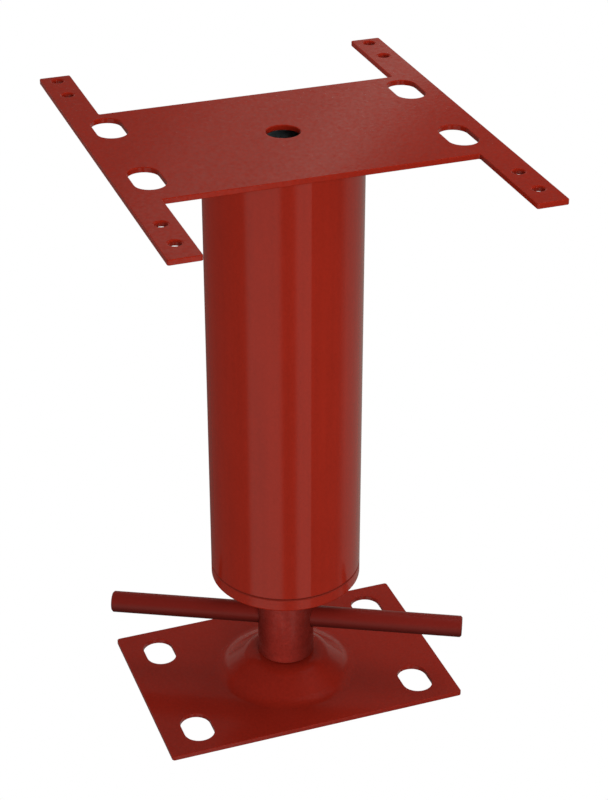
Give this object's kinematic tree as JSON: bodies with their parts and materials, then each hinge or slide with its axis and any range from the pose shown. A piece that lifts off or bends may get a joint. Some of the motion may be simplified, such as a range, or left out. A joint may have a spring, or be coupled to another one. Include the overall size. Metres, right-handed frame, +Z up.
{
  "type": "adjustable jack post",
  "caption": "Short adjustable steel jack post: a round column on a screw turned by a cross bar, between a slotted H-shaped top plate and a base plate with a raised boss.",
  "frame": {"origin": "on the floor, under the screw's axis, at the middle of the base plate's slots", "axes": "+Z up the column, +X along the top plate's long bars, +Y across them"},
  "size_m": [0.219, 0.1778, 0.3048],
  "materials": {
    "red_enamel": "glossy red enamel"
  },
  "bodies": {
    "base": {"base_plate": "red_enamel"},
    "screw": {"screw": "red_enamel"},
    "column": {"column_tube": "red_enamel", "top_plate": "red_enamel", "top_weld": "red_enamel", "end_nut": "red_enamel"},
    "turning_bar": {"turning_bar": "red_enamel"}
  },
  "joints": [
    {"name": "screw_turn", "type": "hinge", "parent": "base", "child": "screw", "pos_m": [0, 0, 0], "axis": [0, 0, -1], "range_deg": [0, 7200]},
    {"name": "column_lift", "type": "slide", "parent": "base", "child": "column", "axis": [0, 0, 1], "range_m": [0, 0.1016]},
    {"name": "bar_slide", "type": "slide", "parent": "screw", "child": "turning_bar", "axis": [0.454, 0.891, 0], "range_m": [-0.0776, 0.0776]}
  ],
  "couplings": [
    {"joint": "column_lift", "follows": "screw_turn", "m_per_rad": 0.0008085}
  ]
}
